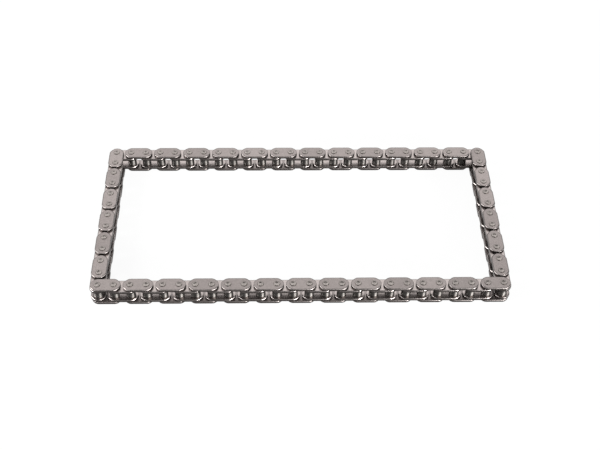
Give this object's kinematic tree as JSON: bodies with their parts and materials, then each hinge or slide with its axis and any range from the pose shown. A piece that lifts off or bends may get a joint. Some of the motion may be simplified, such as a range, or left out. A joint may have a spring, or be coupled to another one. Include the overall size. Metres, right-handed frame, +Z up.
{
  "type": "timing chain",
  "caption": "Single strand bush timing chain laid on its side as a closed rectangle, with blunt round-cornered plates, pressed bushes and riveted pins that turn at each joint.",
  "frame": {"origin": "middle of the loop, on the plane of the lower rivet heads that the chain lies on", "axes": "+X along the long runs, +Y towards the rear run, +Z up along the pins"},
  "size_m": [0.2078, 0.1038, 0.0108],
  "materials": {
    "outer_link_steel": "satin, tumbled and lightly oiled steel plates with brighter riveted pin heads",
    "inner_link_steel": "satin, tumbled and lightly oiled steel plates with dark polished bushes",
    "link_pair_steel": "satin, tumbled and lightly oiled steel plates, bright pin heads and dark polished bushes"
  },
  "bodies": {
    "inner_link_01": {"inner_link_01": "inner_link_steel"},
    "outer_link_02": {"outer_link_02": "outer_link_steel"},
    "inner_link_03": {"inner_link_03": "inner_link_steel"},
    "outer_link_04": {"outer_link_04": "outer_link_steel"},
    "link_pair_05_06": {"link_pair_05_06": "link_pair_steel"},
    "inner_link_07": {"inner_link_07": "inner_link_steel"},
    "outer_link_08": {"outer_link_08": "outer_link_steel"},
    "inner_link_09": {"inner_link_09": "inner_link_steel"},
    "link_pair_10_11": {"link_pair_10_11": "link_pair_steel"},
    "outer_link_12": {"outer_link_12": "outer_link_steel"},
    "inner_link_13": {"inner_link_13": "inner_link_steel"},
    "outer_link_14": {"outer_link_14": "outer_link_steel"},
    "link_pair_15_16": {"link_pair_15_16": "link_pair_steel"},
    "inner_link_17": {"inner_link_17": "inner_link_steel"},
    "outer_link_18": {"outer_link_18": "outer_link_steel"},
    "inner_link_19": {"inner_link_19": "inner_link_steel"},
    "link_pair_20_21": {"link_pair_20_21": "link_pair_steel"},
    "outer_link_22": {"outer_link_22": "outer_link_steel"},
    "inner_link_23": {"inner_link_23": "inner_link_steel"},
    "outer_link_24": {"outer_link_24": "outer_link_steel"},
    "inner_link_25": {"inner_link_25": "inner_link_steel"},
    "outer_link_26": {"outer_link_26": "outer_link_steel"},
    "inner_link_27": {"inner_link_27": "inner_link_steel"},
    "link_pair_28_29": {"link_pair_28_29": "link_pair_steel"},
    "outer_link_30": {"outer_link_30": "outer_link_steel"},
    "link_pair_31_32": {"link_pair_31_32": "link_pair_steel"},
    "inner_link_33": {"inner_link_33": "inner_link_steel"},
    "link_pair_34_35": {"link_pair_34_35": "link_pair_steel"},
    "outer_link_36": {"outer_link_36": "outer_link_steel"},
    "inner_link_37": {"inner_link_37": "inner_link_steel"},
    "outer_link_38": {"outer_link_38": "outer_link_steel"},
    "inner_link_39": {"inner_link_39": "inner_link_steel"},
    "outer_link_40": {"outer_link_40": "outer_link_steel"},
    "inner_link_41": {"inner_link_41": "inner_link_steel"},
    "link_pair_42_43": {"link_pair_42_43": "link_pair_steel"},
    "outer_link_44": {"outer_link_44": "outer_link_steel"},
    "inner_link_45": {"inner_link_45": "inner_link_steel"},
    "outer_link_46": {"outer_link_46": "outer_link_steel"},
    "link_pair_47_48": {"link_pair_47_48": "link_pair_steel"},
    "inner_link_49": {"inner_link_49": "inner_link_steel"},
    "outer_link_50": {"outer_link_50": "outer_link_steel"},
    "inner_link_51": {"inner_link_51": "inner_link_steel"},
    "link_pair_52_53": {"link_pair_52_53": "link_pair_steel"},
    "outer_link_54": {"outer_link_54": "outer_link_steel"},
    "inner_link_55": {"inner_link_55": "inner_link_steel"},
    "outer_link_56": {"outer_link_56": "outer_link_steel"},
    "link_pair_57_58": {"link_pair_57_58": "link_pair_steel"},
    "inner_link_59": {"inner_link_59": "inner_link_steel"},
    "outer_link_60": {"outer_link_60": "outer_link_steel"},
    "inner_link_61": {"inner_link_61": "inner_link_steel"},
    "outer_link_62": {"outer_link_62": "outer_link_steel"},
    "inner_link_63": {"inner_link_63": "inner_link_steel"},
    "outer_link_64": {"outer_link_64": "outer_link_steel"},
    "link_pair_65_66": {"link_pair_65_66": "link_pair_steel"},
    "inner_link_67": {"inner_link_67": "inner_link_steel"},
    "link_pair_68_69": {"link_pair_68_69": "link_pair_steel"},
    "outer_link_70": {"outer_link_70": "outer_link_steel"},
    "link_pair_71_72": {"link_pair_71_72": "link_pair_steel"},
    "inner_link_73": {"inner_link_73": "inner_link_steel"},
    "outer_link_74": {"outer_link_74": "outer_link_steel"}
  },
  "joints": [
    {"name": "pin_51", "type": "hinge", "parent": "outer_link_50", "child": "inner_link_51", "pos_m": [-0.004, -0.048, 0.0054], "axis": [0, 0, 1], "range_deg": [-60, 60]},
    {"name": "pin_52", "type": "hinge", "parent": "inner_link_51", "child": "link_pair_52_53", "pos_m": [-0.012, -0.048, 0.0054], "axis": [0, 0, 1], "range_deg": [-60, 60]},
    {"name": "pin_54", "type": "hinge", "parent": "link_pair_52_53", "child": "outer_link_54", "pos_m": [-0.028, -0.048, 0.0054], "axis": [0, 0, 1], "range_deg": [-60, 60]},
    {"name": "pin_55", "type": "hinge", "parent": "outer_link_54", "child": "inner_link_55", "pos_m": [-0.036, -0.048, 0.0054], "axis": [0, 0, 1], "range_deg": [-60, 60]},
    {"name": "pin_56", "type": "hinge", "parent": "inner_link_55", "child": "outer_link_56", "pos_m": [-0.044, -0.048, 0.0054], "axis": [0, 0, 1], "range_deg": [-60, 60]},
    {"name": "pin_57", "type": "hinge", "parent": "outer_link_56", "child": "link_pair_57_58", "pos_m": [-0.052, -0.048, 0.0054], "axis": [0, 0, 1], "range_deg": [-60, 60]},
    {"name": "pin_59", "type": "hinge", "parent": "link_pair_57_58", "child": "inner_link_59", "pos_m": [-0.068, -0.048, 0.0054], "axis": [0, 0, 1], "range_deg": [-60, 60]},
    {"name": "pin_60", "type": "hinge", "parent": "inner_link_59", "child": "outer_link_60", "pos_m": [-0.076, -0.048, 0.0054], "axis": [0, 0, 1], "range_deg": [-60, 60]},
    {"name": "pin_61", "type": "hinge", "parent": "outer_link_60", "child": "inner_link_61", "pos_m": [-0.084, -0.048, 0.0054], "axis": [0, 0, 1], "range_deg": [-60, 60]},
    {"name": "pin_62", "type": "hinge", "parent": "inner_link_61", "child": "outer_link_62", "pos_m": [-0.092, -0.048, 0.0054], "axis": [0, 0, 1], "range_deg": [-60, 60]},
    {"name": "pin_63", "type": "hinge", "parent": "outer_link_62", "child": "inner_link_63", "pos_m": [-0.1, -0.048, 0.0054], "axis": [0, 0, 1], "range_deg": [-10, 10]},
    {"name": "pin_64", "type": "hinge", "parent": "inner_link_63", "child": "outer_link_64", "pos_m": [-0.1, -0.04, 0.0054], "axis": [0, 0, 1], "range_deg": [-60, 60]},
    {"name": "pin_65", "type": "hinge", "parent": "outer_link_64", "child": "link_pair_65_66", "pos_m": [-0.1, -0.032, 0.0054], "axis": [0, 0, 1], "range_deg": [-60, 60]},
    {"name": "pin_67", "type": "hinge", "parent": "link_pair_65_66", "child": "inner_link_67", "pos_m": [-0.1, -0.016, 0.0054], "axis": [0, 0, 1], "range_deg": [-60, 60]},
    {"name": "pin_68", "type": "hinge", "parent": "inner_link_67", "child": "link_pair_68_69", "pos_m": [-0.1, -0.008, 0.0054], "axis": [0, 0, 1], "range_deg": [-60, 60]},
    {"name": "pin_70", "type": "hinge", "parent": "link_pair_68_69", "child": "outer_link_70", "pos_m": [-0.1, 0.008, 0.0054], "axis": [0, 0, 1], "range_deg": [-60, 60]},
    {"name": "pin_71", "type": "hinge", "parent": "outer_link_70", "child": "link_pair_71_72", "pos_m": [-0.1, 0.016, 0.0054], "axis": [0, 0, 1], "range_deg": [-60, 60]},
    {"name": "pin_73", "type": "hinge", "parent": "link_pair_71_72", "child": "inner_link_73", "pos_m": [-0.1, 0.032, 0.0054], "axis": [0, 0, 1], "range_deg": [-60, 60]},
    {"name": "pin_74", "type": "hinge", "parent": "inner_link_73", "child": "outer_link_74", "pos_m": [-0.1, 0.04, 0.0054], "axis": [0, 0, 1], "range_deg": [-60, 60]},
    {"name": "pin_01", "type": "hinge", "parent": "outer_link_74", "child": "inner_link_01", "pos_m": [-0.1, 0.048, 0.0054], "axis": [0, 0, 1], "range_deg": [-10, 10]},
    {"name": "pin_02", "type": "hinge", "parent": "inner_link_01", "child": "outer_link_02", "pos_m": [-0.092, 0.048, 0.0054], "axis": [0, 0, 1], "range_deg": [-60, 60]},
    {"name": "pin_03", "type": "hinge", "parent": "outer_link_02", "child": "inner_link_03", "pos_m": [-0.084, 0.048, 0.0054], "axis": [0, 0, 1], "range_deg": [-60, 60]},
    {"name": "pin_04", "type": "hinge", "parent": "inner_link_03", "child": "outer_link_04", "pos_m": [-0.076, 0.048, 0.0054], "axis": [0, 0, 1], "range_deg": [-60, 60]},
    {"name": "pin_05", "type": "hinge", "parent": "outer_link_04", "child": "link_pair_05_06", "pos_m": [-0.068, 0.048, 0.0054], "axis": [0, 0, 1], "range_deg": [-60, 60]},
    {"name": "pin_07", "type": "hinge", "parent": "link_pair_05_06", "child": "inner_link_07", "pos_m": [-0.052, 0.048, 0.0054], "axis": [0, 0, 1], "range_deg": [-60, 60]},
    {"name": "pin_08", "type": "hinge", "parent": "inner_link_07", "child": "outer_link_08", "pos_m": [-0.044, 0.048, 0.0054], "axis": [0, 0, 1], "range_deg": [-60, 60]},
    {"name": "pin_09", "type": "hinge", "parent": "outer_link_08", "child": "inner_link_09", "pos_m": [-0.036, 0.048, 0.0054], "axis": [0, 0, 1], "range_deg": [-60, 60]},
    {"name": "pin_10", "type": "hinge", "parent": "inner_link_09", "child": "link_pair_10_11", "pos_m": [-0.028, 0.048, 0.0054], "axis": [0, 0, 1], "range_deg": [-60, 60]},
    {"name": "pin_12", "type": "hinge", "parent": "link_pair_10_11", "child": "outer_link_12", "pos_m": [-0.012, 0.048, 0.0054], "axis": [0, 0, 1], "range_deg": [-60, 60]},
    {"name": "pin_50", "type": "hinge", "parent": "outer_link_50", "child": "inner_link_49", "pos_m": [0.004, -0.048, 0.0054], "axis": [0, 0, 1], "range_deg": [-60, 60]},
    {"name": "pin_49", "type": "hinge", "parent": "inner_link_49", "child": "link_pair_47_48", "pos_m": [0.012, -0.048, 0.0054], "axis": [0, 0, 1], "range_deg": [-60, 60]},
    {"name": "pin_47", "type": "hinge", "parent": "link_pair_47_48", "child": "outer_link_46", "pos_m": [0.028, -0.048, 0.0054], "axis": [0, 0, 1], "range_deg": [-60, 60]},
    {"name": "pin_46", "type": "hinge", "parent": "outer_link_46", "child": "inner_link_45", "pos_m": [0.036, -0.048, 0.0054], "axis": [0, 0, 1], "range_deg": [-60, 60]},
    {"name": "pin_45", "type": "hinge", "parent": "inner_link_45", "child": "outer_link_44", "pos_m": [0.044, -0.048, 0.0054], "axis": [0, 0, 1], "range_deg": [-60, 60]},
    {"name": "pin_44", "type": "hinge", "parent": "outer_link_44", "child": "link_pair_42_43", "pos_m": [0.052, -0.048, 0.0054], "axis": [0, 0, 1], "range_deg": [-60, 60]},
    {"name": "pin_42", "type": "hinge", "parent": "link_pair_42_43", "child": "inner_link_41", "pos_m": [0.068, -0.048, 0.0054], "axis": [0, 0, 1], "range_deg": [-60, 60]},
    {"name": "pin_41", "type": "hinge", "parent": "inner_link_41", "child": "outer_link_40", "pos_m": [0.076, -0.048, 0.0054], "axis": [0, 0, 1], "range_deg": [-60, 60]},
    {"name": "pin_40", "type": "hinge", "parent": "outer_link_40", "child": "inner_link_39", "pos_m": [0.084, -0.048, 0.0054], "axis": [0, 0, 1], "range_deg": [-60, 60]},
    {"name": "pin_39", "type": "hinge", "parent": "inner_link_39", "child": "outer_link_38", "pos_m": [0.092, -0.048, 0.0054], "axis": [0, 0, 1], "range_deg": [-60, 60]},
    {"name": "pin_38", "type": "hinge", "parent": "outer_link_38", "child": "inner_link_37", "pos_m": [0.1, -0.048, 0.0054], "axis": [0, 0, 1], "range_deg": [-10, 10]},
    {"name": "pin_37", "type": "hinge", "parent": "inner_link_37", "child": "outer_link_36", "pos_m": [0.1, -0.04, 0.0054], "axis": [0, 0, 1], "range_deg": [-60, 60]},
    {"name": "pin_36", "type": "hinge", "parent": "outer_link_36", "child": "link_pair_34_35", "pos_m": [0.1, -0.032, 0.0054], "axis": [0, 0, 1], "range_deg": [-60, 60]},
    {"name": "pin_34", "type": "hinge", "parent": "link_pair_34_35", "child": "inner_link_33", "pos_m": [0.1, -0.016, 0.0054], "axis": [0, 0, 1], "range_deg": [-60, 60]},
    {"name": "pin_33", "type": "hinge", "parent": "inner_link_33", "child": "link_pair_31_32", "pos_m": [0.1, -0.008, 0.0054], "axis": [0, 0, 1], "range_deg": [-60, 60]},
    {"name": "pin_31", "type": "hinge", "parent": "link_pair_31_32", "child": "outer_link_30", "pos_m": [0.1, 0.008, 0.0054], "axis": [0, 0, 1], "range_deg": [-60, 60]},
    {"name": "pin_30", "type": "hinge", "parent": "outer_link_30", "child": "link_pair_28_29", "pos_m": [0.1, 0.016, 0.0054], "axis": [0, 0, 1], "range_deg": [-60, 60]},
    {"name": "pin_28", "type": "hinge", "parent": "link_pair_28_29", "child": "inner_link_27", "pos_m": [0.1, 0.032, 0.0054], "axis": [0, 0, 1], "range_deg": [-60, 60]},
    {"name": "pin_27", "type": "hinge", "parent": "inner_link_27", "child": "outer_link_26", "pos_m": [0.1, 0.04, 0.0054], "axis": [0, 0, 1], "range_deg": [-60, 60]},
    {"name": "pin_26", "type": "hinge", "parent": "outer_link_26", "child": "inner_link_25", "pos_m": [0.1, 0.048, 0.0054], "axis": [0, 0, 1], "range_deg": [-10, 10]},
    {"name": "pin_25", "type": "hinge", "parent": "inner_link_25", "child": "outer_link_24", "pos_m": [0.092, 0.048, 0.0054], "axis": [0, 0, 1], "range_deg": [-60, 60]},
    {"name": "pin_24", "type": "hinge", "parent": "outer_link_24", "child": "inner_link_23", "pos_m": [0.084, 0.048, 0.0054], "axis": [0, 0, 1], "range_deg": [-60, 60]},
    {"name": "pin_23", "type": "hinge", "parent": "inner_link_23", "child": "outer_link_22", "pos_m": [0.076, 0.048, 0.0054], "axis": [0, 0, 1], "range_deg": [-60, 60]},
    {"name": "pin_22", "type": "hinge", "parent": "outer_link_22", "child": "link_pair_20_21", "pos_m": [0.068, 0.048, 0.0054], "axis": [0, 0, 1], "range_deg": [-60, 60]},
    {"name": "pin_20", "type": "hinge", "parent": "link_pair_20_21", "child": "inner_link_19", "pos_m": [0.052, 0.048, 0.0054], "axis": [0, 0, 1], "range_deg": [-60, 60]},
    {"name": "pin_19", "type": "hinge", "parent": "inner_link_19", "child": "outer_link_18", "pos_m": [0.044, 0.048, 0.0054], "axis": [0, 0, 1], "range_deg": [-60, 60]},
    {"name": "pin_18", "type": "hinge", "parent": "outer_link_18", "child": "inner_link_17", "pos_m": [0.036, 0.048, 0.0054], "axis": [0, 0, 1], "range_deg": [-60, 60]},
    {"name": "pin_17", "type": "hinge", "parent": "inner_link_17", "child": "link_pair_15_16", "pos_m": [0.028, 0.048, 0.0054], "axis": [0, 0, 1], "range_deg": [-60, 60]},
    {"name": "pin_15", "type": "hinge", "parent": "link_pair_15_16", "child": "outer_link_14", "pos_m": [0.012, 0.048, 0.0054], "axis": [0, 0, 1], "range_deg": [-60, 60]},
    {"name": "pin_14", "type": "hinge", "parent": "outer_link_14", "child": "inner_link_13", "pos_m": [0.004, 0.048, 0.0054], "axis": [0, 0, 1], "range_deg": [-60, 60]}
  ],
  "couplings": [
    {"joint": "pin_63", "follows": "pin_38", "ratio": 1},
    {"joint": "pin_26", "follows": "pin_38", "ratio": -1},
    {"joint": "pin_01", "follows": "pin_38", "ratio": -1},
    {"joint": "pin_62", "follows": "pin_61", "ratio": -1},
    {"joint": "pin_02", "follows": "pin_61", "ratio": 1},
    {"joint": "pin_03", "follows": "pin_61", "ratio": -1},
    {"joint": "pin_60", "follows": "pin_59", "ratio": -1},
    {"joint": "pin_04", "follows": "pin_59", "ratio": 1},
    {"joint": "pin_05", "follows": "pin_59", "ratio": -1},
    {"joint": "pin_57", "follows": "pin_56", "ratio": -1},
    {"joint": "pin_07", "follows": "pin_56", "ratio": 1},
    {"joint": "pin_08", "follows": "pin_56", "ratio": -1},
    {"joint": "pin_55", "follows": "pin_54", "ratio": -1},
    {"joint": "pin_09", "follows": "pin_54", "ratio": 1},
    {"joint": "pin_10", "follows": "pin_54", "ratio": -1},
    {"joint": "pin_52", "follows": "pin_51", "ratio": -1},
    {"joint": "pin_12", "follows": "pin_51", "ratio": 1},
    {"joint": "pin_49", "follows": "pin_50", "ratio": -1},
    {"joint": "pin_15", "follows": "pin_50", "ratio": 1},
    {"joint": "pin_14", "follows": "pin_50", "ratio": -1},
    {"joint": "pin_46", "follows": "pin_47", "ratio": -1},
    {"joint": "pin_18", "follows": "pin_47", "ratio": 1},
    {"joint": "pin_17", "follows": "pin_47", "ratio": -1},
    {"joint": "pin_44", "follows": "pin_45", "ratio": -1},
    {"joint": "pin_20", "follows": "pin_45", "ratio": 1},
    {"joint": "pin_19", "follows": "pin_45", "ratio": -1},
    {"joint": "pin_41", "follows": "pin_42", "ratio": -1},
    {"joint": "pin_23", "follows": "pin_42", "ratio": 1},
    {"joint": "pin_22", "follows": "pin_42", "ratio": -1},
    {"joint": "pin_39", "follows": "pin_40", "ratio": -1},
    {"joint": "pin_25", "follows": "pin_40", "ratio": 1},
    {"joint": "pin_24", "follows": "pin_40", "ratio": -1},
    {"joint": "pin_73", "follows": "pin_28", "ratio": 1},
    {"joint": "pin_27", "follows": "pin_28", "ratio": -1},
    {"joint": "pin_74", "follows": "pin_28", "ratio": -1},
    {"joint": "pin_70", "follows": "pin_31", "ratio": 1},
    {"joint": "pin_30", "follows": "pin_31", "ratio": -1},
    {"joint": "pin_71", "follows": "pin_31", "ratio": -1},
    {"joint": "pin_67", "follows": "pin_34", "ratio": 1},
    {"joint": "pin_33", "follows": "pin_34", "ratio": -1},
    {"joint": "pin_68", "follows": "pin_34", "ratio": -1},
    {"joint": "pin_64", "follows": "pin_37", "ratio": 1},
    {"joint": "pin_36", "follows": "pin_37", "ratio": -1},
    {"joint": "pin_65", "follows": "pin_37", "ratio": -1}
  ]
}
